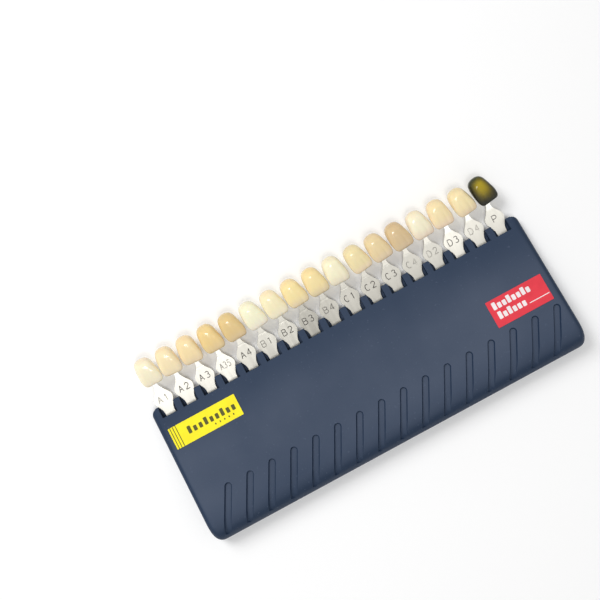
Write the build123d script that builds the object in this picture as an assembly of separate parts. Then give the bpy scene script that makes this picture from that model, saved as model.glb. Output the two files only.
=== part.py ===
from build123d import *
import math
import os

# A dental shade guide, lying on its back. A moulded holder in two shells carries a row
# of pressed steel tabs, and each tab carries one tooth. X runs along the row, Y from the
# foot of the holder to the teeth, and Z up from the flat back to the front. The origin
# is the centre of the back face. Lengths are in millimetres and angles in degrees.

# The row: each shade's code, how far its tooth is set sideways from its tab, and how far
# the tooth is turned in the plane of the row, positive with its root towards -X
shades = [
    ("a1", 0.47, 0), ("a2", 0.18, -4), ("a3", 0.03, -4), ("a35", 0.19, 1),
    ("a4", 0.31, 3), ("b1", 0.39, 6), ("b2", 0.26, 4), ("b3", 0.08, 4),
    ("b4", 0.05, 2), ("c1", -0.23, 0), ("c2", 0.21, 7), ("c3", 0.13, 6),
    ("c4", 0.0, 6), ("d2", -0.13, 3), ("d3", -0.38, 0), ("d4", 0.11, 7), ("p", 0.10, 8),
]
row_pitch = 9.4

# Holder. Its width follows from the row and from what stands out at either end, beyond the
# axes of the first and last tabs. Its foot is a little wider than its top on each side, and
# the front rolls over to the foot above a short flat.
left_margin = 7.3
right_margin = 8.1
holder_height = 59.0
side_flare = 0.4
lip_thickness = 5.5
front_slope = 7.3
foot_flat = 2.25
side_round = 3.5
top_corner = 3.7
back_round = 0.8
shell_wall = 2.0
front_wall = 2.2
plate_thickness = 2.2
plate_corner = 1.5
seam_gap = 0.1

# How far a cutter reaches beyond the face that it opens
overshoot = 1.0

# Mouths of the pockets, with a rib standing between each two
rib_height = 4.6
mouth_width = 6.75
lead_in_width = 6.0
lead_in_length = 3.0

# Stiffening walls and locating pins inside the holder, the pins' places as shares of half
# the holder's width
inner_wall_count = 5
inner_wall_thickness = 1.5
pin_shares = [-0.80, -0.34, 0.34, 0.80]
pin_diameter = 3.0
pin_length = 4.0
pin_gap = 0.1
boss_diameter = 6.4

# Colour fields on the front: from the holder's end, from the lip, width and height
field_thickness = 0.15
yellow_field = (3.6, 4.7, 29.6, 8.9)
red_field = (4.2, 20.5, 24.5, 11.1)

# Finger grooves on the front: the first and last from the holder's ends, and all just below
# the red field. Their floors run out over the foot's roll.
groove_count = 16
groove_left_margin = 14.7
groove_right_margin = 5.0
groove_clearance = 2.1
groove_width = 2.9
groove_depth = 0.8
groove_lean = 28.5
groove_wall_angle = 25.0
groove_run_out = 12.5

# Tab: a strip with a round finger plate, bent up at its neck into the tooth. Its outline
# runs from the stem over the finger plate to the neck: half width and rise above the lip
tab_thickness = 0.8
stem_depth = 24.0
slide_gap = 0.1
stop_gap = 0.1
tab_outline = [
    (2.05, 1.00), (2.95, 3.90), (4.00, 7.05), (2.64, 9.45), (1.23, 11.60), (0.88, 13.20),
]
bend_rise = 10.9
bend_angle = 25.0
bend_radius = 1.6
tongue_depth = 6.6

# Tooth: height of its biting edge above the lip, and its sections from that edge to the
# root, each with its rise, its reach to the left and right, its front and its back
tooth_rise = 13.4
tooth_length = 11.7
cement_gap = 0.05
crown_sections = [
    (0.00, 2.65, 3.15, 6.75, 6.05),
    (0.45, 3.40, 3.80, 7.20, 5.85),
    (1.60, 4.05, 4.25, 7.85, 5.55),
    (3.60, 4.35, 4.30, 8.70, 5.00),
    (6.00, 4.35, 3.90, 9.45, 4.00),
    (8.20, 4.20, 3.40, 9.85, 3.40),
    (9.90, 3.80, 2.85, 9.60, 3.60),
    (11.00, 3.00, 2.00, 8.95, 4.45),
    (tooth_length, 1.70, 0.80, 7.80, 5.60),
]
section_points = 12

# Powers that make a section squarer or rounder than an ellipse: across its front and its
# back, and from back to front
front_power = 0.72
back_power = 0.95
depth_power = 0.9

# Places that follow from the sizes above
y_top = holder_height / 2
y_foot = -holder_height / 2
y_lip = y_top - rib_height
y_stop = y_lip - stem_depth - stop_gap
y_crown = y_lip + tooth_rise
hollow_top = y_stop - shell_wall
slope = math.tan(math.radians(front_slope))
half_width = ((len(shades) - 1) * row_pitch + left_margin + right_margin) / 2
tab_places = [left_margin - half_width + number * row_pitch for number in range(len(shades))]
foot_thickness = lip_thickness + (y_lip - y_foot) * slope
foot_roll = (foot_thickness - foot_flat) * math.tan(math.radians((90 - front_slope) / 2))
groove_pitch = (2 * half_width - groove_left_margin - groove_right_margin) / (groove_count - 1)
groove_top = y_lip - red_field[1] - red_field[3] - groove_clearance
stem_width = 2 * tab_outline[0][0]
neck_width = 2 * tab_outline[-1][0]
tab_back = plate_thickness + slide_gap
pocket_depth = tab_thickness + 2 * slide_gap
pocket_width = stem_width + 2 * slide_gap


def front_level(y):
    """Height of the sloping front face above the back."""
    return lip_thickness + (y_lip - y) * slope


def block(x_low, x_high, y_low, y_high, z_low, z_high):
    """A box between two corners."""
    size = (x_high - x_low, y_high - y_low, z_high - z_low)
    return Pos(x_low, y_low, z_low) * Box(*size, align=Align.MIN)


def side_profile(inset, y_end, z_low, roll):
    """The holder's section across the row, drawn in inwards and ended at a height."""
    drop = inset / math.cos(math.radians(front_slope))
    y_low = y_foot + inset
    corners = [
        (y_low, z_low), (y_end, z_low), (y_end, front_level(y_end) - drop),
        (y_low, front_level(y_low) - drop),
    ]
    face = make_face(Plane.YZ * Polyline(*corners, close=True))
    foot_corner = face.vertices().sort_by(Axis.Z)[-1]
    return fillet(foot_corner, roll)


def plan_outline(inset):
    """The holder's outline seen from the front, drawn in inwards at its foot and sides."""
    half_top = half_width - inset
    half_foot = half_top + side_flare
    y_low = y_foot + inset
    corners = [(-half_foot, y_low), (half_foot, y_low), (half_top, y_top), (-half_top, y_top)]
    return make_face(Polyline(*corners, close=True))


def holder_body():
    """The solid outer form: a wedge with a rolled foot and rounded sides."""
    reach = 2 * half_width
    wedge = extrude(side_profile(0, y_top, 0, foot_roll), amount=reach, both=True)
    body = wedge & extrude(plan_outline(0), amount=reach)
    for side in (-1, 1):
        face = body.faces().sort_by(Axis.X)[0 if side < 0 else -1]
        edges = face.edges().filter_by(lambda e: e.center().Z > back_round)
        edges = edges.filter_by(lambda e: e.center().Y < y_top - back_round)
        body = fillet(edges, side_round)
    back = body.faces().sort_by(Axis.Z)[0]
    rim = back.edges().filter_by(lambda e: e.center().Y < y_top - back_round)
    body = fillet(rim, back_round)
    outline = plan_outline(0)
    top_corners = outline.vertices().group_by(Axis.Y)[-1]
    return body & extrude(fillet(top_corners, top_corner), amount=reach)


def pocket_cutters():
    """What each tab's place takes out of the front shell: its mouth and its pocket."""
    cutters = []
    for x in tab_places:
        half_mouth = mouth_width / 2
        mouth = block(x - half_mouth, x + half_mouth, y_lip, y_top + overshoot, plate_thickness,
                      lip_thickness + overshoot)
        half, half_lead = pocket_width / 2, lead_in_width / 2
        y_lead = y_lip - lead_in_length
        outline = [
            (x - half, y_stop), (x + half, y_stop), (x + half, y_lead),
            (x + half_lead, y_lip), (x - half_lead, y_lip), (x - half, y_lead),
        ]
        floor = Plane.XY.offset(plate_thickness)
        pocket = extrude(floor * make_face(Polyline(*outline, close=True)), amount=pocket_depth)
        cutters += [mouth, pocket]
    return cutters


def pin_post(share, diameter, height):
    """A round post at one locating pin, standing up from the back."""
    y = (y_foot + hollow_top) / 2
    post = Cylinder(diameter / 2, height, align=(Align.CENTER, Align.CENTER, Align.MIN))
    return Pos(share * half_width, y, 0) * post


def hollow():
    """The space inside the front shell below the pockets, less its walls and bosses."""
    profile = side_profile(front_wall, hollow_top, plate_thickness, foot_roll - front_wall)
    reach = half_width - shell_wall
    space = extrude(profile, amount=reach, both=True)
    for number in range(inner_wall_count):
        x = reach * (2 * (number + 1) / (inner_wall_count + 1) - 1)
        half = inner_wall_thickness / 2
        space -= block(x - half, x + half, y_foot, y_top, 0, foot_thickness)
    for share in pin_shares:
        space -= pin_post(share, boss_diameter, foot_thickness)
    return space


def groove_cutter():
    """One finger groove: sloping walls, a round top end, and a floor that runs out."""
    lean = math.radians(groove_lean)
    normal = Vector(0, slope, 1).normalized()
    along = Vector(-math.sin(lean), -math.cos(lean), slope * math.cos(lean)).normalized()
    y_start = groove_top - groove_width / 2
    start = Vector(0, y_start, front_level(y_start)) - normal * groove_depth
    y_roll = y_foot + foot_roll * (1 + math.sin(math.radians(front_slope)))
    run = (y_roll - y_start) / along.Y
    turn = math.degrees(foot_roll / groove_run_out)
    route_plane = Plane(origin=start, x_dir=along, z_dir=along.cross(normal))
    line = Line((0, 0), (run, 0))
    route = route_plane * Wire([line, JernArc(line @ 1, line % 1, groove_run_out, -turn)])
    floor_half = groove_width / 2 - groove_depth * math.tan(math.radians(groove_wall_angle))
    height = 2 * groove_depth
    top_half = floor_half + height * math.tan(math.radians(groove_wall_angle))
    section = Polyline((-floor_half, 0), (floor_half, 0), (top_half, height), (-top_half, height),
                       close=True)
    section_plane = Plane(origin=start, x_dir=normal.cross(along), z_dir=along)
    channel = sweep(section_plane * make_face(section), path=route)
    end = Cone(floor_half, top_half, height, align=(Align.CENTER, Align.CENTER, Align.MIN))
    return channel + Plane(origin=start, z_dir=normal) * end


def front_shell():
    """Front, sides and foot of the holder, open at the back."""
    shell = holder_body()
    recess = extrude(plan_outline(shell_wall), amount=plate_thickness)
    inner_half = half_width - shell_wall
    recess += block(-inner_half, inner_half, y_lip, y_top + overshoot, 0, plate_thickness)
    shell = shell - recess - hollow() - pocket_cutters()
    for share in pin_shares:
        shell -= pin_post(share, pin_diameter + 2 * pin_gap, plate_thickness + pin_length + pin_gap)
    groove = Pos(groove_left_margin - half_width, 0, 0) * groove_cutter()
    shell -= [Pos(number * groove_pitch, 0, 0) * groove for number in range(groove_count)]
    return shell


def back_plate():
    """The flat back, let in flush, with the pins that locate it in the front shell."""
    outline = plan_outline(shell_wall + seam_gap)
    outline = fillet(outline.vertices().group_by(Axis.Y)[0], plate_corner)
    plate = extrude(outline, amount=plate_thickness)
    for share in pin_shares:
        plate += pin_post(share, pin_diameter, plate_thickness + pin_length)
    return plate


def colour_field(field, side):
    """A thin field of colour lying on the sloping front, near one side of it."""
    margin, drop, width, height = field
    x = side * (half_width - margin - width / 2)
    y = y_lip - drop - height / 2
    seat = Plane(origin=(x, y, front_level(y)), x_dir=(1, 0, 0), z_dir=(0, slope, 1))
    return extrude(seat * Rectangle(width, height), amount=field_thickness)


def strip_face(x, spare):
    """The tab's bent section, seen from the side, with a spare thickness all round."""
    half = tab_thickness / 2 + spare
    middle = tab_back + tab_thickness / 2
    turn = math.radians(bend_angle)
    end_run = (y_crown + tongue_depth + spare - y_lip - bend_rise) / math.cos(turn)
    y_bend = y_lip + bend_rise

    def edge_points(offset):
        """Start, bend and end of a line drawn beside the strip's middle."""
        corner = (y_bend - offset * math.tan(turn / 2), middle + offset)
        start = (y_lip - stem_depth, middle + offset)
        end = (y_bend + end_run * math.cos(turn) - offset * math.sin(turn),
               middle + end_run * math.sin(turn) + offset * math.cos(turn))
        return start, corner, end

    outline = list(edge_points(-half)) + list(reversed(edge_points(half)))
    face = make_face(Plane.YZ.offset(x) * Polyline(*outline, close=True))
    corners = face.vertices().sort_by(lambda v: abs(v.Y - y_bend))[:2].sort_by(Axis.Z)
    face = fillet(corners[0], bend_radius + 2 * half)
    inner = face.vertices().sort_by(lambda v: abs(v.Y - y_bend) + abs(v.Z - corners[1].Z))[0]
    return fillet(inner, bend_radius)


def tab(x):
    """One pressed steel tab."""
    right = Spline(*((half, y_lip + rise) for half, rise in tab_outline), tangents=[(0, 1), (0, 1)])
    left = mirror(right, about=Plane.YZ)
    stem, neck = stem_width / 2, neck_width / 2
    y_low, y_high = y_lip - stem_depth, y_crown + tongue_depth + tab_thickness
    base = Polyline(right @ 0, (stem, y_low), (-stem, y_low), left @ 0)
    tip = Polyline(right @ 1, (neck, y_high), (-neck, y_high), left @ 1)
    outline = make_face(Curve() + [right, tip, left, base])
    bent = extrude(strip_face(x, 0), amount=row_pitch, both=True)
    return bent & (Pos(x, 0, 0) * extrude(outline, amount=foot_thickness))


def signed_power(value, power):
    """A value's size raised to a power, with its sign kept."""
    return math.copysign(abs(value) ** power, value)


def crown_wire(rise, left, right, front, back):
    """One section across the tooth: broad at the front, narrower at the back."""
    centre_x, half_x = (right - left) / 2, (right + left) / 2
    centre_z, half_z = (front + back) / 2, (front - back) / 2
    points = []
    for number in range(section_points):
        angle = 2 * math.pi * number / section_points
        across, upward = math.cos(angle), math.sin(angle)
        across_power = front_power if upward > 0 else back_power
        points.append((centre_x + half_x * signed_power(across, across_power), rise,
                       centre_z + half_z * signed_power(upward, depth_power)))
    return Wire([Spline(*points, periodic=True)])


def tooth(x, side_set, turn):
    """One tooth, with the slot in its back that takes the tab's tongue."""
    crown = Solid.make_loft([crown_wire(*section) for section in crown_sections])
    half = tooth_length / 2
    crown = Pos(x + side_set, y_crown + half, 0) * Rot(0, 0, turn) * (Pos(0, -half, 0) * crown)
    slot_half = neck_width / 2 + cement_gap
    slot = extrude(strip_face(x, cement_gap), amount=slot_half, both=True)
    return crown - slot


def write(name, shape):
    """Writes one node as its own STEP file."""
    shape.label = name
    export_step(shape, "parts/" + name + ".step")


os.makedirs("parts", exist_ok=True)
write("front_shell", front_shell())
write("back_plate", back_plate())
write("yellow_field", colour_field(yellow_field, -1))
write("red_field", colour_field(red_field, 1))
for place, (code, side_set, turn) in zip(tab_places, shades):
    write("tab_" + code, tab(place))
    write("tooth_" + code, tooth(place, side_set, turn))
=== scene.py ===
import math
from collections import namedtuple

import bmesh
import bpy
from mathutils import Matrix, Vector


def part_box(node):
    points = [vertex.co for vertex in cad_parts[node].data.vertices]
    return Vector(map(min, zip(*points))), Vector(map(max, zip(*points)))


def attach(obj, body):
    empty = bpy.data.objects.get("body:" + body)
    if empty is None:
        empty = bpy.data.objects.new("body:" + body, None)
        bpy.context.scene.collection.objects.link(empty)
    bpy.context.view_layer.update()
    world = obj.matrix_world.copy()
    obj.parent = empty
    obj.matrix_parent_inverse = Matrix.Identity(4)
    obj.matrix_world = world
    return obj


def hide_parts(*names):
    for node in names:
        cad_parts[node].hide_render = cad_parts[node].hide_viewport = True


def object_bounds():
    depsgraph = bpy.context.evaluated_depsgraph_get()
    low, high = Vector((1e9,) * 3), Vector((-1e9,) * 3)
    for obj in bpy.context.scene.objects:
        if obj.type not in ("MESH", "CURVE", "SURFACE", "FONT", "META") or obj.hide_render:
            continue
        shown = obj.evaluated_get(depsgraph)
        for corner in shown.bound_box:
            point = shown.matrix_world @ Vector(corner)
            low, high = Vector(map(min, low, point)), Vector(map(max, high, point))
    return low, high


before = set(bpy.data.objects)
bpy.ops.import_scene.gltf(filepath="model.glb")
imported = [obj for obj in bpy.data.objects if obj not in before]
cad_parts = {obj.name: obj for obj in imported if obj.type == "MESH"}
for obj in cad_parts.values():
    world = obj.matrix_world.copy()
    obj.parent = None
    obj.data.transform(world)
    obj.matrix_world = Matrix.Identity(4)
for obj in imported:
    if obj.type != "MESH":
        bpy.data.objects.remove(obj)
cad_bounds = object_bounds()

bl_info = {
    "name": "Dental shade guide",
    "version": (1, 0, 0),
    "blender": (4, 5, 0),
    "location": "View3D > Sidebar > Shade guide",
    "description": "Dresses a shade guide: moulded holder, pressed tabs and sample teeth",
    "category": "Object",
}

MM = 0.001
HOLDER_BODY = "holder"

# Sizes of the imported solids, in millimetres: a tab's thickness, how far its bend and a tooth's
# biting edge rise above the holder's lip, and a tooth's length
TAB_THICKNESS = 0.8
BEND_RISE = 10.6
TOOTH_RISE = 13.4
TOOTH_LENGTH = 11.7

# Each shade: its code, how far its tooth is set sideways from its tab in millimetres, the
# tooth's turn in degrees, how dark its engraving shows, and its shine: how far its tab's steel is
# painted towards the brightest colour, a painted reflection that differs from tab to tab
Shade = namedtuple("Shade", "code side_set turn darkness shine")
SHADES = {
    "a1": Shade("A1", 0.47, 0, 0.45, 0.93),
    "a2": Shade("A2", 0.18, -4, 0.9, 0.77),
    "a3": Shade("A3", 0.03, -4, 0.9, 0.67),
    "a35": Shade("A3.5", 0.19, 1, 0.33, 0.67),
    "a4": Shade("A4", 0.31, 3, 0.8, 0.42),
    "b1": Shade("B1", 0.39, 6, 0.3, 0.32),
    "b2": Shade("B2", 0.26, 4, 0.8, 0.27),
    "b3": Shade("B3", 0.08, 4, 0.9, 0.1),
    "b4": Shade("B4", 0.05, 2, 0.5, 0.2),
    "c1": Shade("C1", -0.23, 0, 0.9, 0.25),
    "c2": Shade("C2", 0.21, 7, 0.9, 0.28),
    "c3": Shade("C3", 0.13, 6, 0.9, 0.36),
    "c4": Shade("C4", 0.0, 6, 0.1, 0.4),
    "d2": Shade("D2", -0.13, 3, 0.2, 0.5),
    "d3": Shade("D3", -0.38, 0, 0.9, 0.86),
    "d4": Shade("D4", 0.11, 7, 0.3, 0.74),
    "p": Shade("P", 0.10, 8, 0.9, 0.77),
}

# Colours of each tooth: its body, its neck and its biting edge, as linear red, green, blue
TOOTH_COLOURS = {
    "a1": ((0.97, 0.88, 0.62), (0.83, 0.69, 0.48), (0.97, 0.86, 0.64)),
    "a2": ((0.97, 0.80, 0.48), (0.82, 0.64, 0.37), (0.95, 0.78, 0.52)),
    "a3": ((0.96, 0.75, 0.40), (0.80, 0.60, 0.32), (0.90, 0.71, 0.44)),
    "a35": ((0.89, 0.65, 0.26), (0.73, 0.53, 0.23), (0.83, 0.62, 0.31)),
    "a4": ((0.79, 0.57, 0.23), (0.66, 0.48, 0.20), (0.77, 0.57, 0.30)),
    "b1": ((0.97, 0.93, 0.65), (0.80, 0.73, 0.50), (0.96, 0.87, 0.69)),
    "b2": ((0.97, 0.86, 0.54), (0.83, 0.67, 0.41), (0.97, 0.86, 0.62)),
    "b3": ((0.97, 0.78, 0.36), (0.80, 0.61, 0.30), (0.87, 0.70, 0.42)),
    "b4": ((0.95, 0.76, 0.36), (0.79, 0.60, 0.27), (0.81, 0.66, 0.39)),
    "c1": ((0.97, 0.90, 0.62), (0.79, 0.70, 0.47), (0.89, 0.79, 0.59)),
    "c2": ((0.89, 0.75, 0.40), (0.71, 0.58, 0.32), (0.92, 0.73, 0.47)),
    "c3": ((0.84, 0.66, 0.35), (0.67, 0.51, 0.28), (0.82, 0.64, 0.41)),
    "c4": ((0.71, 0.52, 0.27), (0.58, 0.41, 0.21), (0.73, 0.55, 0.32)),
    "d2": ((0.97, 0.89, 0.64), (0.78, 0.66, 0.44), (0.89, 0.73, 0.55)),
    "d3": ((0.94, 0.77, 0.43), (0.77, 0.60, 0.34), (0.93, 0.72, 0.50)),
    "d4": ((0.95, 0.79, 0.44), (0.76, 0.61, 0.33), (0.88, 0.70, 0.44)),
    "p": ((0.42, 0.31, 0.008), (0.020, 0.026, 0.006), (0.012, 0.013, 0.005)),
}


def millimetre_property(name, text, size):
    """A length property with its default given in millimetres."""
    return bpy.props.FloatProperty(name=name, description=text, default=size * MM, unit="LENGTH",
                                   precision=6)


def colour_property(name, text, colour):
    """A colour property without transparency."""
    return bpy.props.FloatVectorProperty(name=name, description=text, default=colour,
                                         subtype="COLOR", size=3, min=0.0, max=1.0)


def factor_property(name, text, value):
    """A property that runs from nothing to all."""
    return bpy.props.FloatProperty(name=name, description=text, default=value,
                                   subtype="FACTOR", min=0.0, max=1.0)


def angle_property(name, text, degrees):
    """An angle property with its default given in degrees."""
    return bpy.props.FloatProperty(name=name, description=text, default=math.radians(degrees),
                                   subtype="ANGLE")


def power_property(name, text, watts):
    """A lamp's power."""
    return bpy.props.FloatProperty(name=name, description=text, default=watts, unit="POWER",
                                   min=0.0)


class HolderSettings(bpy.types.PropertyGroup):
    """Sizes and colours of the moulded holder."""

    plastic: colour_property("Plastic", "Colour of the moulded plastic", (0.017, 0.033, 0.067))
    # The paler colour: painted light on faces that point up and, on rounded edges, a painted
    # highlight with some paling from use
    worn_and_lit: colour_property("Lit_and_worn plastic", "Colour where handling has paled it",
                          (0.068, 0.088, 0.132))
    yellow: colour_property("Yellow field", "Colour of the left field", (0.95, 0.83, 0.03))
    red: colour_property("Red field", "Colour of the right field", (0.76, 0.052, 0.074))
    mark_dark: colour_property("Dark marks", "Colour of the marks on yellow", (0.10, 0.10, 0.03))
    mark_light: colour_property("Light marks", "Colour of the marks on red", (0.88, 0.82, 0.82))
    edge: millimetre_property("Edge", "Radius worn onto the moulded edges", 0.18)
    grain: millimetre_property("Grain", "Size of the moulded grain", 0.35)


class TabSettings(bpy.types.PropertyGroup):
    """Sizes and colours of the pressed tabs."""

    # Ends of the painted reflection on the tabs: each tab's steel is painted between these two
    steel: colour_property("Steel", "Colour of the dullest tab", (0.27, 0.26, 0.23))
    bright: colour_property("Bright steel", "Colour of the brightest tabs", (0.84, 0.815, 0.74))
    engraving: colour_property("Engraving", "Colour of the darkest engraving", (0.10, 0.09, 0.085))
    edge: millimetre_property("Edge", "Radius of the rounded edges", 0.18)
    code_height: millimetre_property("Code height", "Height of the engraved characters", 2.6)
    code_width: millimetre_property("Code width", "Width of one engraved character", 1.65)
    code_pitch: millimetre_property("Code pitch", "Distance between the two characters", 2.75)
    code_rise: millimetre_property("Code rise", "Height of a code's middle above the lip", 6.85)
    stroke: millimetre_property("Stroke", "Width of the engraving tool", 0.36)


class ToothSettings(bpy.types.PropertyGroup):
    """Form and finish of the sample teeth."""

    lobe: millimetre_property("Lobe depth", "Depth of the furrows down the front", 0.16)
    edge: millimetre_property("Edge", "Radius of the biting edge", 0.30)
    root: millimetre_property("Root", "Radius at the root end", 0.45)
    roughness: factor_property("Roughness", "Roughness of the polished tooth", 0.22)
    depth: factor_property("Inner glow", "How much light passes under the surface", 0.12)


class StageSettings(bpy.types.PropertyGroup):
    """Floor, lights and camera."""

    floor: colour_property("Floor", "Colour of the floor", (0.92, 0.92, 0.92))
    floor_glow: factor_property("Floor glow", "How much lighter the floor looks to the camera",
                                0.08)
    key_power: power_property("Key", "Power of the main lamp", 6.2)
    glint_power: power_property("Glint", "Power of the small high lamp", 1.2)
    fill_power: power_property("Fill", "Power of the fill lamp", 0.3)
    world: factor_property("Surroundings", "Light from all round", 0.40)
    camera_height: millimetre_property("Camera height", "Height above the back face", 330.0)
    camera_x: millimetre_property("Camera across", "Place along the row", -8.9)
    camera_y: millimetre_property("Camera up", "Place from foot to teeth", 40.2)
    camera_turn: angle_property("Turn", "Turn of the picture about the view", -28.5)
    camera_field: angle_property("Field", "Angle of view of the camera", 40.2)


def mesh_object(name, mesh, material):
    """A new object from a mesh, linked to the scene with its material."""
    piece = bpy.data.objects.new(name, mesh)
    bpy.context.scene.collection.objects.link(piece)
    piece.data.materials.append(material)
    return piece


def finished(piece):
    """Applies a piece's modifiers, so that its mesh is final."""
    graph = bpy.context.evaluated_depsgraph_get()
    mesh = bpy.data.meshes.new_from_object(piece.evaluated_get(graph))
    piece.modifiers.clear()
    piece.data = mesh
    return piece


def fit(piece, body, slot, *nodes):
    """Rides a piece on its body and hides the nodes that it stands for. Its slot is not used."""
    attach(piece, body)
    if nodes:
        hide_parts(*nodes)
    return piece


def new_group(name, inputs, outputs):
    """A shader node group with named sockets. Returns it with its input and output nodes."""
    group = bpy.data.node_groups.new(name, "ShaderNodeTree")
    for socket, kind, value in inputs:
        made = group.interface.new_socket(socket, in_out="INPUT", socket_type=kind)
        made.default_value = value
    for socket, kind in outputs:
        group.interface.new_socket(socket, in_out="OUTPUT", socket_type=kind)
    return group, group.nodes.new("NodeGroupInput"), group.nodes.new("NodeGroupOutput")


def add_math(tree, operation, *values):
    """A math node over sockets or numbers. Returns its result."""
    node = tree.nodes.new("ShaderNodeMath")
    node.operation = operation
    for socket, value in zip(node.inputs, values):
        if isinstance(value, (int, float)):
            socket.default_value = value
        else:
            tree.links.new(value, socket)
    return node.outputs[0]


def add_mix(tree, factor, first, second):
    """A colour mix node. Returns its result."""
    node = tree.nodes.new("ShaderNodeMix")
    node.data_type = "RGBA"
    for index, value in ((0, factor), (6, first), (7, second)):
        socket = node.inputs[index]
        if isinstance(value, bpy.types.NodeSocket):
            tree.links.new(value, socket)
        else:
            socket.default_value = value
    return node.outputs[2]


def add_noise(tree, vector, scale, detail):
    """A noise texture over a vector. Returns its value."""
    node = tree.nodes.new("ShaderNodeTexNoise")
    tree.links.new(vector, node.inputs["Vector"])
    node.inputs["Detail"].default_value = detail
    if isinstance(scale, bpy.types.NodeSocket):
        tree.links.new(scale, node.inputs["Scale"])
    else:
        node.inputs["Scale"].default_value = scale
    return node.outputs["Fac"]


def add_range(tree, value, low, high):
    """Maps a value from between two limits onto nought to one, smoothly."""
    node = tree.nodes.new("ShaderNodeMapRange")
    node.interpolation_type = "SMOOTHSTEP"
    tree.links.new(value, node.inputs["Value"])
    for name, limit in (("From Min", low), ("From Max", high)):
        if isinstance(limit, bpy.types.NodeSocket):
            tree.links.new(limit, node.inputs[name])
        else:
            node.inputs[name].default_value = limit
    return node.outputs["Result"]


def grain_group():
    """Moulded grain: a fine uneven height, a broad mottling and specks, from nought to one."""
    group, start, end = new_group(
        "Moulded grain",
        [("Cell Count", "NodeSocketFloat", 2500.0), ("Mottle Count", "NodeSocketFloat", 60.0),
         ("Speck Count", "NodeSocketFloat", 900.0)],
        [("Height", "NodeSocketFloat"), ("Mottle", "NodeSocketFloat"),
         ("Specks", "NodeSocketFloat")])
    place = group.nodes.new("ShaderNodeTexCoord").outputs["Object"]
    fine = add_noise(group, place, start.outputs["Cell Count"], 3.0)
    broad = add_noise(group, place, start.outputs["Mottle Count"], 4.0)
    group.links.new(fine, end.inputs["Height"])
    group.links.new(add_range(group, broad, 0.3, 0.7), end.inputs["Mottle"])
    dots = add_noise(group, place, start.outputs["Speck Count"], 1.0)
    group.links.new(add_range(group, dots, 0.68, 0.76), end.inputs["Specks"])
    return group


def light_and_wear_group():
    """Paling of a face in soft patches: most on its middle, less by its lip and foot. It is painted
    light on faces that point up, which leaves painted shade on sloping sides and rolls.
    """
    group, start, end = new_group(
        "Light_shade_and_wear",
        [("Patch Count", "NodeSocketFloat", 30.0), ("Lip Start", "NodeSocketFloat", 0.004),
         ("Lip End", "NodeSocketFloat", 0.026), ("Lip Share", "NodeSocketFloat", 0.4),
         ("Foot Start", "NodeSocketFloat", -0.010), ("Foot End", "NodeSocketFloat", -0.028),
         ("Foot Share", "NodeSocketFloat", 0.45)],
        [("Wear_and_light", "NodeSocketFloat")])
    coordinates = group.nodes.new("ShaderNodeTexCoord")
    normal = group.nodes.new("ShaderNodeSeparateXYZ")
    group.links.new(coordinates.outputs["Normal"], normal.inputs["Vector"])
    place = group.nodes.new("ShaderNodeSeparateXYZ")
    group.links.new(coordinates.outputs["Object"], place.inputs["Vector"])
    # Painted light: faces that point up are paled, and sloping sides and rolls keep a painted shade
    upward = add_range(group, normal.outputs["Z"], 0.80, 0.985)
    ends = []
    for side in ("Lip", "Foot"):
        reach = add_range(group, place.outputs["Y"], start.outputs[side + " Start"],
                          start.outputs[side + " End"])
        loss = add_math(group, "SUBTRACT", 1.0, start.outputs[side + " Share"])
        ends.append(add_math(group, "SUBTRACT", 1.0, add_math(group, "MULTIPLY", reach, loss)))
    middle = add_math(group, "MULTIPLY", *ends)
    patches = add_range(group, add_noise(group, coordinates.outputs["Object"],
                                         start.outputs["Patch Count"], 5.0), 0.25, 0.75)
    patched = add_math(group, "MULTIPLY_ADD", patches, 0.36, 0.62)
    paling = add_math(group, "MULTIPLY", add_math(group, "MULTIPLY", upward, middle), patched)
    group.links.new(paling, end.inputs["Wear_and_light"])
    return group


def blasted_steel_group():
    """Blasted steel: a fine pitted height, long faint streaks, and where a tab rises and bends,
    the masks of a painted shade by the lip and a painted sheen on the neck.
    """
    group, start, end = new_group(
        "Blasted steel",
        [("Pit Count", "NodeSocketFloat", 6000.0), ("Streak Count", "NodeSocketFloat", 900.0),
         ("Lip", "NodeSocketFloat", 0.0), ("Bend", "NodeSocketFloat", 0.011)],
        [("Height", "NodeSocketFloat"), ("Streaks", "NodeSocketFloat"), ("Rise", "NodeSocketFloat"),
         ("Neck", "NodeSocketFloat")])
    place = group.nodes.new("ShaderNodeTexCoord").outputs["Object"]
    stretch = group.nodes.new("ShaderNodeMapping")
    stretch.inputs["Scale"].default_value = (1.0, 0.06, 1.0)
    group.links.new(place, stretch.inputs["Vector"])
    pits = add_noise(group, place, start.outputs["Pit Count"], 2.0)
    streaks = add_noise(group, stretch.outputs["Vector"], start.outputs["Streak Count"], 3.0)
    group.links.new(pits, end.inputs["Height"])
    group.links.new(add_range(group, streaks, 0.3, 0.7), end.inputs["Streaks"])
    axes = group.nodes.new("ShaderNodeSeparateXYZ")
    group.links.new(place, axes.inputs["Vector"])
    bend = add_math(group, "ADD", start.outputs["Lip"], start.outputs["Bend"])
    rise = add_range(group, axes.outputs["Y"], start.outputs["Lip"], bend)
    group.links.new(rise, end.inputs["Rise"])
    neck = add_math(group, "ADD", bend, MM)
    group.links.new(add_range(group, axes.outputs["Y"], bend, neck), end.inputs["Neck"])
    return group


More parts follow.
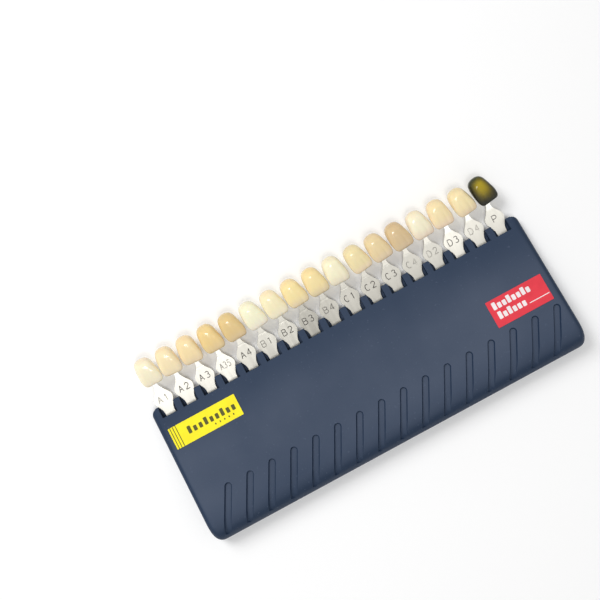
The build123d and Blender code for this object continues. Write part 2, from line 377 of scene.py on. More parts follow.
def layered_tooth_group():
    """Tooth colour in layers: neck, body and biting edge, and a height in faint bands."""
    group, start, end = new_group(
        "Layered tooth",
        [("Body", "NodeSocketColor", (0.8, 0.7, 0.5, 1.0)),
         ("Neck", "NodeSocketColor", (0.8, 0.7, 0.5, 1.0)),
         ("Biting Edge", "NodeSocketColor", (0.7, 0.6, 0.5, 1.0)),
         ("Side Tint", "NodeSocketFloat", 0.5), ("Side Start", "NodeSocketFloat", 0.62),
         ("Neck Start", "NodeSocketFloat", 0.68), ("Edge Start", "NodeSocketFloat", 0.34)],
        [("Colour", "NodeSocketColor"), ("Height", "NodeSocketFloat")])
    rise = group.nodes.new("ShaderNodeAttribute")
    rise.attribute_name = "rise"
    across = group.nodes.new("ShaderNodeAttribute")
    across.attribute_name = "across"
    place = group.nodes.new("ShaderNodeTexCoord").outputs["Object"]
    waver = add_math(group, "MULTIPLY_ADD", add_noise(group, place, 400.0, 2.0), 0.16, -0.08)
    level = add_math(group, "ADD", rise.outputs["Fac"], waver)
    downwards = add_range(group, level, start.outputs["Edge Start"], 0.02)
    lower = add_mix(group, downwards, start.outputs["Body"], start.outputs["Biting Edge"])
    outwards = add_range(group, across.outputs["Fac"], start.outputs["Side Start"], 1.0)
    side = add_math(group, "MULTIPLY", outwards, start.outputs["Side Tint"])
    sides = add_mix(group, side, lower, start.outputs["Biting Edge"])
    upwards = add_range(group, level, start.outputs["Neck Start"], 0.98)
    whole = add_mix(group, upwards, sides, start.outputs["Neck"])
    group.links.new(whole, end.inputs["Colour"])
    bands = group.nodes.new("ShaderNodeMapping")
    bands.inputs["Scale"].default_value = (0.25, 1.0, 0.25)
    group.links.new(place, bands.inputs["Vector"])
    group.links.new(add_noise(group, bands.outputs["Vector"], 1800.0, 2.0), end.inputs["Height"])
    return group


def place_group(material, group, **values):
    """Puts a node group into a material, with its own values. Returns the group's node."""
    node = material.node_tree.nodes.new("ShaderNodeGroup")
    node.node_tree = group
    for socket, value in values.items():
        node.inputs[socket.replace("_", " ")].default_value = value
    return node


def new_material(name, **values):
    """A material with a Principled BSDF, whose plain sockets are set by name."""
    material = bpy.data.materials.new(name)
    material.use_nodes = True
    shader = material.node_tree.nodes["Principled BSDF"]
    for socket, value in values.items():
        shader.inputs[socket.replace("_", " ")].default_value = value
    return material, shader


def add_bump(material, shader, height, distance, strength):
    """Feeds a height into the shader's normal."""
    tree = material.node_tree
    bump = tree.nodes.new("ShaderNodeBump")
    bump.inputs["Distance"].default_value = distance
    bump.inputs["Strength"].default_value = strength
    tree.links.new(height, bump.inputs["Height"])
    tree.links.new(bump.outputs["Normal"], shader.inputs["Normal"])


def solid(colour):
    """A colour with full opacity."""
    return (*colour, 1.0)


def tinted(colour, factor):
    """A colour made lighter or darker."""
    return (*(min(1.0, channel * factor) for channel in colour), 1.0)


def grouped(name, maker):
    """A node group by name, made the first time that it is asked for."""
    return bpy.data.node_groups.get(name) or maker()


def plastic_material(name, settings, paling):
    """Matt moulded plastic, finely grained, mottled and specked, and paled in patches on faces that
    point up, a painted light that leaves painted shade on its sloping sides and rolls.
    """
    material, shader = new_material(name, Specular_IOR_Level=0.14)
    tree = material.node_tree
    grain = place_group(material, grouped("Moulded grain", grain_group),
                        Cell_Count=1.0 / settings.grain, Mottle_Count=45.0)
    light_and_wear = place_group(material, grouped("Light_shade_and_wear", light_and_wear_group))
    # Painted light and shade: the paler colour where the face points up, the dark one elsewhere
    lit_and_handled = add_mix(tree, light_and_wear.outputs["Wear_and_light"], solid(settings.plastic), solid(settings.worn_and_lit))
    specked = add_mix(tree, add_math(tree, "MULTIPLY", grain.outputs["Specks"], 0.35), lit_and_handled,
                      tinted(settings.worn_and_lit, 1.3))
    # Paler in patches by the given share; on the rounded edges a painted highlight with some paling
    # from use
    worn_and_lit = add_math(tree, "MULTIPLY", grain.outputs["Mottle"], paling)
    tree.links.new(add_mix(tree, worn_and_lit, specked, solid(settings.worn_and_lit)), shader.inputs["Base Color"])
    rough = add_math(tree, "MULTIPLY_ADD", grain.outputs["Mottle"], 0.06, 0.5)
    tree.links.new(rough, shader.inputs["Roughness"])
    add_bump(material, shader, grain.outputs["Height"], distance=0.05 * MM, strength=0.5)
    return material


def print_material(name, colour):
    """Printed ink: even, slightly mottled and satin."""
    material, shader = new_material(name, Roughness=0.45, Specular_IOR_Level=0.2)
    tree = material.node_tree
    grain = place_group(material, grouped("Moulded grain", grain_group), Cell_Count=3500.0,
                        Mottle_Count=220.0)
    mixed = add_mix(tree, grain.outputs["Mottle"], tinted(colour, 0.95), tinted(colour, 1.04))
    tree.links.new(mixed, shader.inputs["Base Color"])
    add_bump(material, shader, grain.outputs["Height"], distance=0.02 * MM, strength=0.4)
    return material


# How much darker or lighter than its colour a tab is, between its streaks and in them, by the
# lip, darker there as painted shade, and further up. Its neck is the brightest, a painted sheen.
LIP_SHADE, AWAY_FROM_LIP, NECK_SHEEN = (0.85, 0.93), (1.0, 1.07), 1.5


def steel_material(name, colour, lip):
    """Blasted stainless steel with faint rolling streaks, painted darker near the lip as shade and
    lighter on the neck as a painted sheen.
    """
    material, shader = new_material(name, Metallic=1.0)
    tree = material.node_tree
    steel = place_group(material, grouped("Blasted steel", blasted_steel_group), Lip=lip,
                        Bend=BEND_RISE * MM)
    shaded_by_lip, unshaded = (add_mix(tree, steel.outputs["Streaks"], tinted(colour, between),
                           tinted(colour, streaked)) for between, streaked in (LIP_SHADE, AWAY_FROM_LIP))
    plate = add_mix(tree, steel.outputs["Rise"], shaded_by_lip, unshaded)
    whole = add_mix(tree, steel.outputs["Neck"], plate, tinted(colour, NECK_SHEEN))
    tree.links.new(whole, shader.inputs["Base Color"])
    rough = add_math(tree, "MULTIPLY_ADD", steel.outputs["Streaks"], 0.1, 0.4)
    tree.links.new(rough, shader.inputs["Roughness"])
    add_bump(material, shader, steel.outputs["Height"], distance=0.02 * MM, strength=0.35)
    return material


def engraving_material(name, colour):
    """The dull floor of the engraving."""
    material, shader = new_material(name, Roughness=0.75)
    tree = material.node_tree
    steel = place_group(material, grouped("Blasted steel", blasted_steel_group))
    mixed = add_mix(tree, steel.outputs["Streaks"], tinted(colour, 0.8), tinted(colour, 1.2))
    tree.links.new(mixed, shader.inputs["Base Color"])
    return material


# How a tooth's layers lie, as shares of its length and half its width, and how it shines. The
# tooth of shade P is dark at its rim and clears towards its middle.
PALE_LAYERS = {"Side_Tint": 0.5, "Side_Start": 0.62, "Neck_Start": 0.68, "Edge_Start": 0.34}
DARK_LAYERS = {"Side_Tint": 1.0, "Side_Start": 0.10, "Neck_Start": 0.66, "Edge_Start": 0.62}
PALE_SHINE = {"Coat_Weight": 0.8, "Specular_IOR_Level": 0.5}
DARK_SHINE = {"Coat_Weight": 0.4, "Specular_IOR_Level": 0.12}


def tooth_material(name, settings):
    """Polished tooth in layers, with a little light passing under its surface."""
    body, neck, biting_edge = TOOTH_COLOURS[name]
    lie, shine = (DARK_LAYERS, DARK_SHINE) if name == "p" else (PALE_LAYERS, PALE_SHINE)
    material, shader = new_material(
        "Tooth " + name, Roughness=settings.roughness, Subsurface_Weight=settings.depth,
        Subsurface_Radius=(0.9, 0.6, 0.35), Subsurface_Scale=0.8 * MM, Coat_Roughness=0.06, **shine)
    tree = material.node_tree
    layers = place_group(material, grouped("Layered tooth", layered_tooth_group), Body=solid(body),
                         Neck=solid(neck), Biting_Edge=solid(biting_edge), **lie)
    tree.links.new(layers.outputs["Colour"], shader.inputs["Base Color"])
    add_bump(material, shader, layers.outputs["Height"], distance=0.05 * MM, strength=0.35)
    return material


def smooth_by_angle(piece, degrees):
    """Smooth shading, sharp at steep edges, with flat faces kept flat beside rounded ones."""
    work = bmesh.new()
    work.from_mesh(piece.data)
    for face in work.faces:
        face.smooth = True
    for line in work.edges:
        line.smooth = line.calc_face_angle(0.0) <= math.radians(degrees)
    work.to_mesh(piece.data)
    work.free()
    weighted = piece.modifiers.new("Flat faces", "WEIGHTED_NORMAL")
    weighted.keep_sharp = True
    finished(piece)


def rounded_copy(node, name, material, edge_material, edge, keep_angle):
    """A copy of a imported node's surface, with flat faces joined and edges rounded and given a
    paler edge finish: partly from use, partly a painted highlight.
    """
    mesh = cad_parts[node].data.copy()
    mesh.materials.clear()
    work = bmesh.new()
    work.from_mesh(mesh)
    bmesh.ops.remove_doubles(work, verts=work.verts, dist=0.001 * MM)
    bmesh.ops.dissolve_limit(work, angle_limit=math.radians(0.5), verts=work.verts,
                             edges=work.edges)
    work.to_mesh(mesh)
    work.free()
    piece = mesh_object(name, mesh, material)
    piece.data.materials.append(edge_material)
    bevel = piece.modifiers.new("Edges", "BEVEL")
    bevel.material = 1
    bevel.width = edge
    bevel.segments = 2
    bevel.limit_method = "ANGLE"
    bevel.angle_limit = math.radians(keep_angle)
    finished(piece)
    smooth_by_angle(piece, keep_angle)
    return piece


class SHADEGUIDE_OT_holder(bpy.types.Operator):
    """Dress the holder's two shells in moulded plastic"""

    bl_idname = "shadeguide.holder"
    bl_label = "Holder"

    def execute(self, context):
        settings = context.scene.shade_holder
        # Rounded edges take the paler finish, a painted highlight with some paling from use
        plastic = plastic_material("Moulded blue plastic", settings, paling=0.0)
        worn_and_lit = plastic_material("Lit_and_worn blue plastic", settings, paling=0.6)
        for node, name, edge in (("front_shell", "holder_front", settings.edge),
                                 ("back_plate", "holder_back", settings.edge / 2)):
            piece = rounded_copy(node, name, plastic, worn_and_lit, edge, keep_angle=30.0)
            fit(piece, HOLDER_BODY, "holder", node)
        return {"FINISHED"}


# The colour fields and the marks on them, in millimetres from a field's middle. A row of plain
# blocks has its left lower end, its blocks' heights, their width and the gap between them, and
# a thin line has its middle, width and height.
FIELD_THICKNESS = 0.15
FIELD_CORNER = 0.25
MARK_THICKNESS = 0.02
LINE_CORNER = 0.1
BLOCK_CORNER = 0.2  # as a share of the block's width
TALL, SHORT, SMALL = 3.1, 2.2, 0.7
BLOCK_ROWS = {
    "yellow": [(-7.8, -1.2, (TALL, SHORT, SHORT) * 3, 1.45, 0.98),
               (3.0, -2.9, (SMALL,) * 5, 0.5, 1.5)],
    "red": [(-10.4, 1.3, (TALL, SHORT, SHORT, TALL, SHORT, SHORT, TALL, SHORT), 1.55, 0.55),
            (-10.0, -2.8, (TALL, SHORT, TALL, SHORT, SHORT, SHORT), 1.55, 0.55)],
}
THIN_LINES = {
    "yellow": [(x, 0.0, 0.32, 8.9) for x in (-13.95, -12.8, -11.6)],
    "red": [(7.5, -2.6, 8.8, 0.32)],
}


def field_frame(node):
    """Where a colour field lies on the sloping front, and its width and height, in millimetres."""
    low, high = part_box(node)
    normals = [face.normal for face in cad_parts[node].data.polygons]
    up = max(normals, key=lambda normal: normal.z)
    tilt = Matrix.Rotation(-math.atan2(up.y, up.z), 4, "X")
    place = Matrix.Translation((low + high) / 2) @ tilt @ Matrix.Scale(MM, 4)
    return place, (high.x - low.x) / MM, (high.y - low.y) / up.z / MM


def add_plate(work, x, y, width, height, corner, low, high):
    """Adds a thin plate with rounded corners to a mesh, about a place in XY."""
    steps = 4
    outline = []
    for quarter in range(4):
        centre_x = x + (width / 2 - corner) * (1 if quarter in (0, 3) else -1)
        centre_y = y + (height / 2 - corner) * (1 if quarter in (0, 1) else -1)
        for step in range(steps + 1):
            angle = math.pi / 2 * (quarter + step / steps)
            outline.append((centre_x + corner * math.cos(angle),
                            centre_y + corner * math.sin(angle)))
    under = [work.verts.new((*point, low)) for point in outline]
    over = [work.verts.new((*point, high)) for point in outline]
    work.faces.new(list(reversed(under)))
    work.faces.new(over)
    for index, vert in enumerate(under):
        after = (index + 1) % len(under)
        work.faces.new((vert, under[after], over[after], over[index]))


def plates_mesh(name, place, plates, low, high):
    """A mesh of thin plates between two levels, moved to its place."""
    work = bmesh.new()
    for plate in plates:
        add_plate(work, *plate, low, high)
    mesh = bpy.data.meshes.new(name)
    work.to_mesh(mesh)
    work.free()
    mesh.transform(place)
    return mesh


def block_row(x, y, heights, width, gap):
    """A row of plain blocks of different heights, standing on one line from a place on."""
    return [(x + number * (width + gap) + width / 2, y + height / 2, width, height,
             width * BLOCK_CORNER) for number, height in enumerate(heights)]


class SHADEGUIDE_OT_fields(bpy.types.Operator):
    """Print the two colour fields and their plain marks on the front"""

    bl_idname = "shadeguide.fields"
    bl_label = "Colour fields"

    def execute(self, context):
        settings = context.scene.shade_holder
        top = FIELD_THICKNESS / 2
        for slot, colour, mark_colour in (("yellow", settings.yellow, settings.mark_dark),
                                          ("red", settings.red, settings.mark_light)):
            place, width, height = field_frame(slot + "_field")
            plate = plates_mesh(slot, place, [(0.0, 0.0, width, height, FIELD_CORNER)], -top, top)
            ink = print_material(slot + " ink", colour)
            fit(mesh_object(slot + "_print", plate, ink), HOLDER_BODY, slot, slot + "_field")
            marks = [block for row in BLOCK_ROWS[slot] for block in block_row(*row)]
            marks += [(*line, LINE_CORNER) for line in THIN_LINES[slot]]
            mark_mesh = plates_mesh(slot, place, marks, top, top + MARK_THICKNESS)
            mark_ink = print_material(slot + " marks", mark_colour)
            fit(mesh_object(slot + "_marks", mark_mesh, mark_ink), HOLDER_BODY, slot)
        return {"FINISHED"}


def arc(centre_x, centre_y, radius_x, radius_y, start, end, steps=10):
    """Points of an elliptical stroke, angles in degrees."""
    points = []
    for step in range(steps + 1):
        angle = math.radians(start + (end - start) * step / steps)
        points.append((centre_x + radius_x * math.cos(angle),
                       centre_y + radius_y * math.sin(angle)))
    return points


# Strokes of each character in a box one wide and one high
CHARACTERS = {
    "A": [[(0, 0), (0.5, 1)], [(0.5, 1), (1, 0)], [(0.2, 0.36), (0.8, 0.36)]],
    "B": [[(0, 0), (0, 1), (0.55, 1)] + arc(0.55, 0.77, 0.38, 0.23, 90, -90) + [(0, 0.54)],
          [(0.55, 0.54)] + arc(0.58, 0.27, 0.42, 0.27, 90, -90) + [(0, 0)]],
    "C": [arc(0.52, 0.5, 0.5, 0.5, 50, 310, 18)],
    "D": [[(0, 0), (0, 1), (0.45, 1)] + arc(0.45, 0.5, 0.55, 0.5, 90, -90, 14) + [(0, 0)]],
    "P": [[(0, 0), (0, 1), (0.55, 1)] + arc(0.55, 0.72, 0.42, 0.28, 90, -90) + [(0, 0.44)]],
    "1": [[(0.25, 0.78), (0.55, 1)], [(0.55, 1), (0.55, 0)]],
    "2": [arc(0.5, 0.7, 0.45, 0.3, 165, -20) + [(0.02, 0)], [(0.02, 0), (1, 0)]],
    "3": [arc(0.48, 0.76, 0.4, 0.24, 150, -90), arc(0.48, 0.27, 0.45, 0.27, 90, -150)],
    "4": [[(0.72, 0), (0.72, 1)], [(0.72, 1), (0, 0.3)], [(0, 0.3), (1, 0.3)]],
    "5": [[(0.9, 1), (0.2, 1), (0.14, 0.56)] + arc(0.46, 0.32, 0.46, 0.32, 120, -150, 12)],
    ".": [[(0.5, 0.0), (0.52, 0.0)]],
}


# Where each character of a code stands, as a share of the pitch, and how much wider or
# narrower than usual it is, by the number of characters in the code
CODE_LAYOUTS = {
    1: ((0.0, 1.1),),
    2: ((-0.5, 1.0), (0.5, 1.0)),
    4: ((-0.6, 0.72), (0.0, 0.68), (0.3, 0.5), (0.6, 0.72)),
}


def code_strokes(code, settings):
    """The strokes of a code about its middle, in metres."""
    strokes = []
    for character, (place, stretch) in zip(code, CODE_LAYOUTS[len(code)]):
        middle, width = place * settings.code_pitch, settings.code_width * stretch
        for stroke in CHARACTERS[character]:
            strokes.append([(middle + (x - 0.5) * width, (y - 0.5) * settings.code_height)
                            for x, y in stroke])
    return strokes


def stroke_cutter(strokes, place, radius, material):
    """A round tool's path along the strokes about a place, as one closed mesh object."""
    curve = bpy.data.curves.new("Engraving path", "CURVE")
    curve.dimensions = "3D"
    curve.bevel_depth = radius
    curve.bevel_resolution = 2
    curve.use_fill_caps = True
    for stroke in strokes:
        line = curve.splines.new("POLY")
        line.points.add(len(stroke) - 1)
        for point, (across, up) in zip(line.points, stroke):
            point.co = (place.x + across, place.y + up, place.z, 1.0)
    cutter = bpy.data.objects.new("Engraving tool", curve)
    bpy.context.scene.collection.objects.link(cutter)
    bpy.context.view_layer.update()
    graph = bpy.context.evaluated_depsgraph_get()
    mesh = bpy.data.meshes.new_from_object(cutter.evaluated_get(graph))
    bpy.data.objects.remove(cutter)
    mesh.materials.clear()
    mesh.materials.append(material)
    tool = bpy.data.objects.new("Engraving tool", mesh)
    bpy.context.scene.collection.objects.link(tool)
    return tool


# How far a tab's rounded edges are towards the brightest steel, partly polish from rubbing and
# partly a painted highlight, and how far the middle of the engraving tool runs above the tab's
# face, as a share of its radius
RUBBED_AND_SHEEN_SHARE = 0.6
TOOL_LIFT = 0.15


class SHADEGUIDE_OT_tabs(bpy.types.Operator):
    """Dress the pressed tabs in blasted steel and engrave their codes"""

    bl_idname = "shadeguide.tabs"
    bl_label = "Tabs"

    def execute(self, context):
        settings = context.scene.shade_tabs
        lip = lip_place()
        radius = settings.stroke / 2
        bright = Vector(settings.bright)
        for name, shade in SHADES.items():
            node = "tab_" + name
            # Painted reflection: each tab's steel is painted towards the brightest colour by its
            # shine
            steel = Vector(settings.steel).lerp(bright, shade.shine)
            material = steel_material("Steel " + name, steel, lip)
            # Its edges are paler steel: partly polish from rubbing, partly a painted highlight
            rubbed_and_sheen = steel_material("Sheened_and_rubbed steel " + name, steel.lerp(bright, RUBBED_AND_SHEEN_SHARE), lip)
            piece = rounded_copy(node, "shade_" + node, material, rubbed_and_sheen, settings.edge,
                                 keep_angle=40.0)
            dark = steel.lerp(Vector(settings.engraving), shade.darkness)
            engraving = engraving_material("Engraving " + name, dark)
            low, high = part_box(node)
            place = Vector(((low.x + high.x) / 2, lip + settings.code_rise,
                            low.z + TAB_THICKNESS * MM + radius * TOOL_LIFT))
            tool = stroke_cutter(code_strokes(shade.code, settings), place, radius, engraving)
            piece.data.materials.append(engraving)
            cut = piece.modifiers.new("Engraving", "BOOLEAN")
            cut.object = tool
            cut.operation = "DIFFERENCE"
            cut.solver = "EXACT"
            cut.use_self = True
            cut.material_mode = "TRANSFER"
            finished(piece)
            smooth_by_angle(piece, degrees=35.0)
            bpy.data.objects.remove(tool)
            fit(piece, "shade_" + name, "tab", node)
        return {"FINISHED"}


# Sections of a tooth: rise above the biting edge, reach to the left and right, front, back
CROWN_SECTIONS = [
    (0.00, 2.65, 3.15, 6.75, 6.05),
    (0.45, 3.40, 3.80, 7.20, 5.85),
    (1.60, 4.05, 4.25, 7.85, 5.55),
    (3.60, 4.35, 4.30, 8.70, 5.00),
    (6.00, 4.35, 3.90, 9.45, 4.00),
    (8.20, 4.20, 3.40, 9.85, 3.40),
    (9.90, 3.80, 2.85, 9.60, 3.60),
    (11.00, 3.00, 2.00, 8.95, 4.45),
    (11.70, 1.70, 0.80, 7.80, 5.60),
]
# Powers that make a section squarer or rounder than an ellipse: across its front and its back,
# and from back to front
FRONT_POWER, BACK_POWER, DEPTH_POWER = 0.72, 0.95, 0.9
# Furrows down the front: their places and width as shares of half the tooth's width, and where
# they are deepest and how far they reach, in rise
FURROWS = (-0.30, 0.34)
FURROW_WIDTH = 0.15
FURROW_RISE, FURROW_REACH = 2.6, 3.9
# Low swells on the front that catch the light: place across, rise, radius, height and hollow
SWELLS = ((-0.75, 8.3, 0.95, 0.11, 0.035), (-0.95, 5.9, 0.45, 0.035, 0.0),
          (2.1, 4.9, 0.70, 0.06, 0.0))
SWELL_HOLLOW = 5  # how many times narrower in area a swell's hollow is
DEPTH_TAKEN = 0.84  # the most of a section's half depth that a rounded end draws in
# Points around a tooth, and rings over its biting edge, up its body and over its root
AROUND = 72
EDGE_STEPS, BODY_STEPS, ROOT_STEPS = 5, 44, 4


def lip_place():
    """Height of the holder's lip in Y, from the biting edge of an unturned tooth."""
    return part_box("tooth_a1")[0].y - TOOTH_RISE * MM


def section_at(rise):
    """A tooth's section at any rise, smoothly between the given ones."""
    rows = CROWN_SECTIONS
    index = max(i for i in range(len(rows) - 1) if rows[i][0] <= rise or i == 0)
    before, after = rows[max(index - 1, 0)], rows[min(index + 2, len(rows) - 1)]
    start, end = rows[index], rows[index + 1]
    span = end[0] - start[0]
    share = (rise - start[0]) / span
    values = []
    for column in range(1, 5):
        first = (end[column] - before[column]) / (end[0] - before[0])
        last = (after[column] - start[column]) / (after[0] - start[0])
        square, cube = share ** 2, share ** 3
        values.append((2 * cube - 3 * square + 1) * start[column]
                      + (cube - 2 * square + share) * span * first
                      + (3 * square - 2 * cube) * end[column] + (cube - square) * span * last)
    return values


def signed_power(value, power):
    """A value's size raised to a power, with its sign kept."""
    return math.copysign(abs(value) ** power, value)


def crown_point(rise, angle, shrink, lobe):
    """A point on the tooth, in millimetres, drawn in by a shrink and furrowed on the front."""
    left, right, front, back = section_at(min(max(rise, 0.0), TOOTH_LENGTH))
    centre_x, half_x = (right - left) / 2, (right + left) / 2 - shrink
    centre_z, half_z = (front + back) / 2, (front - back) / 2
    half_z -= min(shrink, half_z * DEPTH_TAKEN)
    across, upward = math.cos(angle), math.sin(angle)
    x = centre_x + half_x * signed_power(across, FRONT_POWER if upward > 0 else BACK_POWER)
    z = centre_z + half_z * signed_power(upward, DEPTH_POWER)
    if upward > 0:
        share = (x - centre_x) / half_x
        fade = math.exp(-((rise - FURROW_RISE) / FURROW_REACH) ** 2) * upward
        furrows = sum(math.exp(-((share - place) / FURROW_WIDTH) ** 2) for place in FURROWS)
        z -= lobe * fade * furrows
        for place, level, radius, height, hollow in SWELLS:
            apart = ((x - place) ** 2 + (rise - level) ** 2) / radius ** 2
            z += height * math.exp(-apart) - hollow * math.exp(-apart * SWELL_HOLLOW)
    return Vector((x, rise, z))


def crown_rings(edge, root):
    """Rise and drawing in of each ring: a rounded biting edge, the body and a rounded root."""
    rings = []
    for step in range(EDGE_STEPS + 1):
        angle = math.pi / 2 * step / EDGE_STEPS
        rings.append((edge * (1 - math.cos(angle)), edge * (1 - math.sin(angle))))
    body = TOOTH_LENGTH - edge - root
    rings += [(edge + body * step / BODY_STEPS, 0.0) for step in range(1, BODY_STEPS + 1)]
    for step in range(1, ROOT_STEPS + 1):
        angle = math.pi / 2 * step / ROOT_STEPS
        rings.append((TOOTH_LENGTH - root + root * math.sin(angle), root * (1 - math.cos(angle))))
    return rings


def crown_mesh(name, settings):
    """A tooth's surface in even rings, with its ends rounded over."""
    lobe = settings.lobe / MM
    work = bmesh.new()
    rise_layer = work.verts.layers.float.new("rise")
    across_layer = work.verts.layers.float.new("across")
    loops = []
    for rise, shrink in crown_rings(settings.edge / MM, settings.root / MM):
        left, right = section_at(rise)[:2]
        loop = []
        for number in range(AROUND):
            point = crown_point(rise, 2 * math.pi * number / AROUND, shrink, lobe)
            vert = work.verts.new(point * MM)
            vert[rise_layer] = rise / TOOTH_LENGTH
            vert[across_layer] = abs(2 * point.x - right + left) / (right + left)
            loop.append(vert)
        loops.append(loop)
    for lower, upper in zip(loops, loops[1:]):
        for number in range(AROUND):
            after = (number + 1) % AROUND
            work.faces.new((lower[number], upper[number], upper[after], lower[after]))
    for loop in (loops[0], loops[-1]):
        centre = work.verts.new(sum((vert.co for vert in loop), Vector()) / AROUND)
        centre[rise_layer] = loop[0][rise_layer]
        for number in range(AROUND):
            work.faces.new((centre, loop[number], loop[(number + 1) % AROUND]))
    bmesh.ops.recalc_face_normals(work, faces=work.faces)
    mesh = bpy.data.meshes.new(name)
    work.to_mesh(mesh)
    work.free()
    mesh.shade_smooth()
    return mesh


class SHADEGUIDE_OT_teeth(bpy.types.Operator):
    """Shape and colour the sample teeth"""

    bl_idname = "shadeguide.teeth"
    bl_label = "Teeth"

    def execute(self, context):
        settings = context.scene.shade_teeth
        form = crown_mesh("Crown", settings)
        edge_place = lip_place() + TOOTH_RISE * MM
        half = TOOTH_LENGTH * MM / 2
        for name, shade in SHADES.items():
            low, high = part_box("tab_" + name)
            x = (low.x + high.x) / 2 + shade.side_set * MM
            place = (Matrix.Translation((x, edge_place + half, 0.0))
                     @ Matrix.Rotation(math.radians(shade.turn), 4, "Z")
                     @ Matrix.Translation((0.0, -half, 0.0)))
            mesh = form.copy()
            mesh.transform(place)
            node = "tooth_" + name
            piece = mesh_object("shade_" + node, mesh, tooth_material(name, settings))
            fit(piece, "shade_" + name, node, node)
        return {"FINISHED"}


def stage_material(settings):
    """A plain pale floor, a little lighter to the camera, that keeps the object's shadow."""
    material, shader = new_material("Floor", Roughness=0.9, Emission_Strength=1.0)
    tree = material.node_tree
    place = tree.nodes.new("ShaderNodeTexCoord").outputs["Object"]
    mottle = add_noise(tree, place, 3.0, 2.0)
    tone = add_mix(tree, mottle, tinted(settings.floor, 0.995), tinted(settings.floor, 1.005))
    tree.links.new(tone, shader.inputs["Base Color"])
    path = tree.nodes.new("ShaderNodeLightPath")
    glow = add_mix(tree, path.outputs["Is Camera Ray"], (0.0, 0.0, 0.0, 1.0),
                   (settings.floor_glow,) * 3 + (1.0,))
    tree.links.new(glow, shader.inputs["Emission Color"])
    return material


# Lamps: how far each stands up the picture, across it and above it from the place that it is
# aimed at, and its width, in metres. That place is a little below the picture's middle.
LAMPS = {"Key": (0.4, -0.6, 0.7, 0.45), "Glint": (-0.18, 0.03, 0.75, 0.2),
         "Fill": (-0.5, 0.4, 0.6, 0.6)}
AIM_DROP = 0.03
FLOOR_SIZE = 4.0


def add_area_light(name, place, target, size, power):
    """A soft square lamp aimed at a point. Returns it."""
    data = bpy.data.lights.new(name, "AREA")
    data.energy = power
    data.size = size
    lamp = bpy.data.objects.new(name, data)
    lamp.location = place
    lamp.rotation_euler = (Vector(target) - Vector(place)).to_track_quat("-Z", "Y").to_euler()
    bpy.context.scene.collection.objects.link(lamp)
    return lamp


def set_world(settings):
    """Even surroundings, white where the camera, metal and gloss look at them."""
    world = bpy.data.worlds.new("Surroundings")
    world.use_nodes = True
    tree = world.node_tree
    background = tree.nodes["Background"]
    background.inputs["Color"].default_value = (1.0, 1.0, 1.0, 1.0)
    path = tree.nodes.new("ShaderNodeLightPath")
    seen = add_math(tree, "MAXIMUM", path.outputs["Is Camera Ray"], path.outputs["Is Glossy Ray"])
    seen = add_math(tree, "MAXIMUM", seen, path.outputs["Is Transmission Ray"])
    strength = tree.nodes.new("ShaderNodeMapRange")
    tree.links.new(seen, strength.inputs["Value"])
    strength.inputs["To Min"].default_value = settings.world
    strength.inputs["To Max"].default_value = 1.0
    tree.links.new(strength.outputs["Result"], background.inputs["Strength"])
    bpy.context.scene.world = world


def add_camera(settings):
    """A camera that looks straight down and is turned about its view."""
    data = bpy.data.cameras.new("Camera")
    data.sensor_fit = "HORIZONTAL"
    data.angle = settings.camera_field
    data.clip_start = 0.01
    camera = bpy.data.objects.new("Camera", data)
    camera.location = (settings.camera_x, settings.camera_y, settings.camera_height)
    camera.rotation_euler = (0.0, 0.0, settings.camera_turn)
    bpy.context.scene.collection.objects.link(camera)
    bpy.context.scene.camera = camera


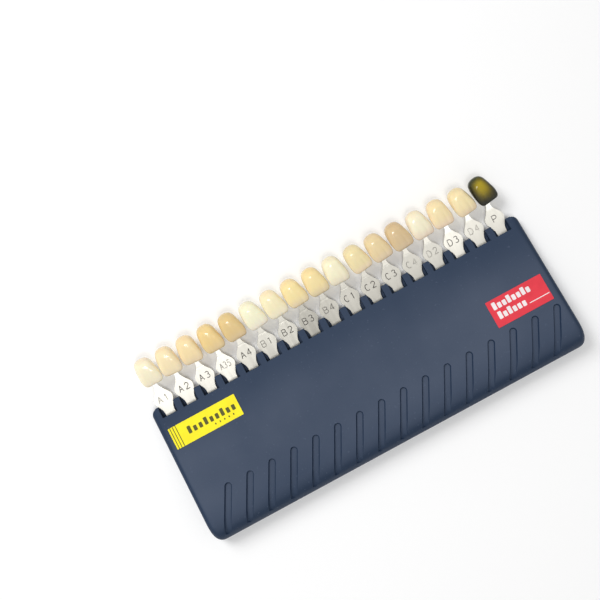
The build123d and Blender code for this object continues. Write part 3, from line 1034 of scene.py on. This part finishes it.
class SHADEGUIDE_OT_stage(bpy.types.Operator):
    """Set the floor, the soft lights and the camera"""

    bl_idname = "shadeguide.stage"
    bl_label = "Stage"

    def execute(self, context):
        settings = context.scene.shade_stage
        bpy.ops.mesh.primitive_plane_add(size=FLOOR_SIZE, location=(0.0, 0.0, cad_bounds[0][2]))
        floor = context.object
        floor.name = "floor"
        floor.data.materials.append(stage_material(settings))
        turn = settings.camera_turn
        up = Vector((-math.sin(turn), math.cos(turn), 0.0))
        side = Vector((math.cos(turn), math.sin(turn), 0.0))
        target = Vector((settings.camera_x, settings.camera_y - AIM_DROP, 0.0))
        powers = {"Key": settings.key_power, "Glint": settings.glint_power,
                  "Fill": settings.fill_power}
        for name, (along, across, above, size) in LAMPS.items():
            place = target + up * along + side * across + Vector((0.0, 0.0, above))
            lamp = add_area_light(name, place, target, size, powers[name])
            lamp.visible_glossy = name != "Key"
        set_world(settings)
        add_camera(settings)
        context.scene.view_settings.view_transform = "Standard"
        return {"FINISHED"}


class SHADEGUIDE_PT_panel(bpy.types.Panel):
    """Lists the shade guide's pieces, each with its settings"""

    bl_label = "Shade guide"
    bl_space_type = "VIEW_3D"
    bl_region_type = "UI"
    bl_category = "Shade guide"

    def draw(self, context):
        layout = self.layout
        sections = (
            (SHADEGUIDE_OT_holder, "shade_holder"), (SHADEGUIDE_OT_fields, None),
            (SHADEGUIDE_OT_tabs, "shade_tabs"), (SHADEGUIDE_OT_teeth, "shade_teeth"),
            (SHADEGUIDE_OT_stage, "shade_stage"),
        )
        for operator, group in sections:
            box = layout.box()
            box.operator(operator.bl_idname)
            if group is not None:
                settings = getattr(context.scene, group)
                for name in settings.bl_rna.properties.keys():
                    if name not in ("rna_type", "name"):
                        box.prop(settings, name)


SETTINGS = {
    "shade_holder": HolderSettings, "shade_tabs": TabSettings, "shade_teeth": ToothSettings,
    "shade_stage": StageSettings,
}
OPERATORS = (SHADEGUIDE_OT_holder, SHADEGUIDE_OT_fields, SHADEGUIDE_OT_tabs, SHADEGUIDE_OT_teeth,
             SHADEGUIDE_OT_stage)


def register():
    """Registers the settings, the operators and the panel."""
    for name, group in SETTINGS.items():
        bpy.utils.register_class(group)
        setattr(bpy.types.Scene, name, bpy.props.PointerProperty(type=group))
    for made in (*OPERATORS, SHADEGUIDE_PT_panel):
        bpy.utils.register_class(made)


def unregister():
    """Takes back what register did."""
    for made in (SHADEGUIDE_PT_panel, *reversed(OPERATORS)):
        bpy.utils.unregister_class(made)
    for name, group in SETTINGS.items():
        delattr(bpy.types.Scene, name)
        bpy.utils.unregister_class(group)


def main():
    """Builds the whole scene."""
    register()
    bpy.ops.shadeguide.holder()
    bpy.ops.shadeguide.fields()
    bpy.ops.shadeguide.tabs()
    bpy.ops.shadeguide.teeth()
    bpy.ops.shadeguide.stage()


if __name__ == "__main__":
    main()
